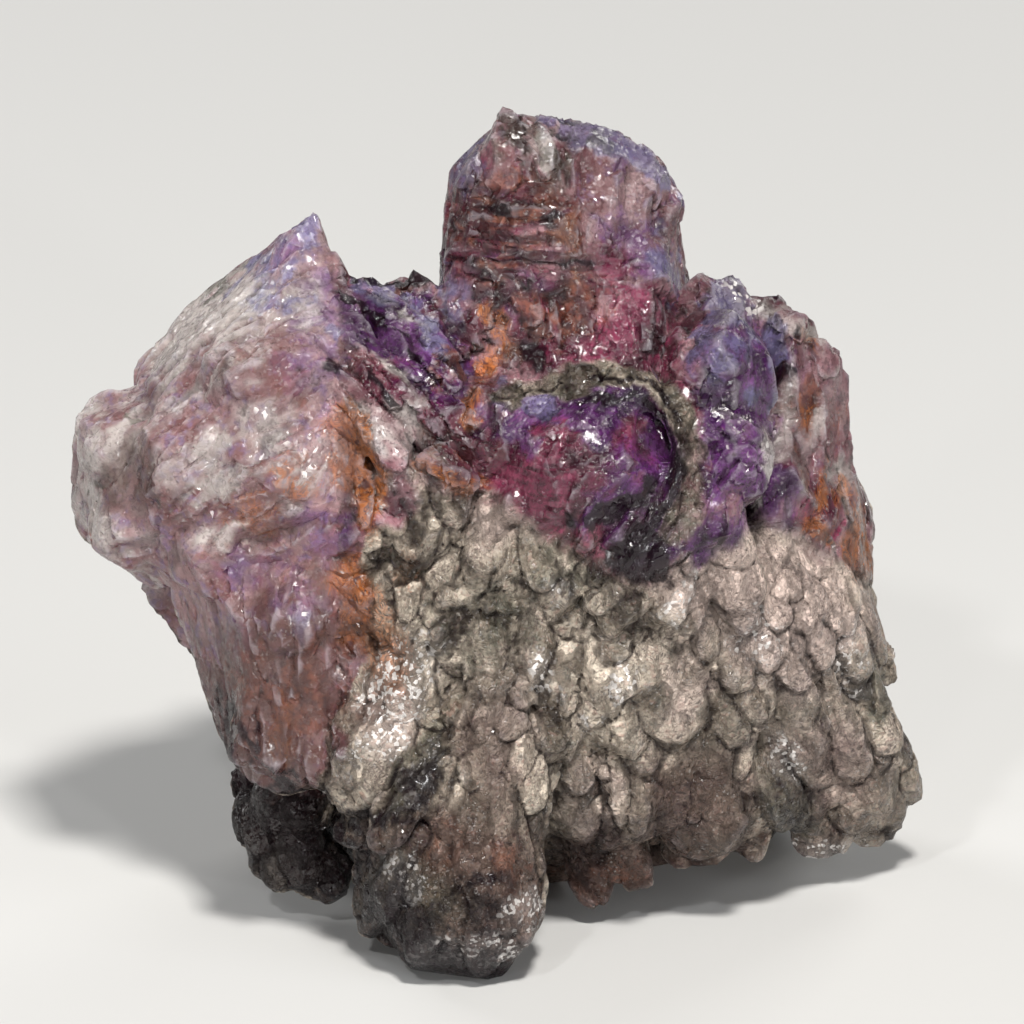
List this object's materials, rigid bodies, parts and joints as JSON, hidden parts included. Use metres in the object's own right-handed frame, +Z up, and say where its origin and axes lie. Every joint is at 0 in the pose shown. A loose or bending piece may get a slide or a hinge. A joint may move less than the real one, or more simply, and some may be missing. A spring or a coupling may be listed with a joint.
{
  "type": "scepter amethyst cluster",
  "caption": "Natural quartz specimen: a violet crown and overhanging violet head on a stem of overlapping crystal scales, with a milky crystal leaning out on the left and a flat broken base.",
  "frame": {"origin": "centre of the bounding box in X and Y, on the flat base at z = 0", "axes": "+X to the right and +Y away from someone who looks at the front, +Z up"},
  "size_m": [0.0858, 0.0594, 0.0841],
  "materials": {
    "quartz": "glassy violet to milky crystal above, sparkling grey-brown crystal skin below, rust stains"
  },
  "bodies": {
    "root": {"amethyst_cluster": "quartz"}
  },
  "joints": []
}
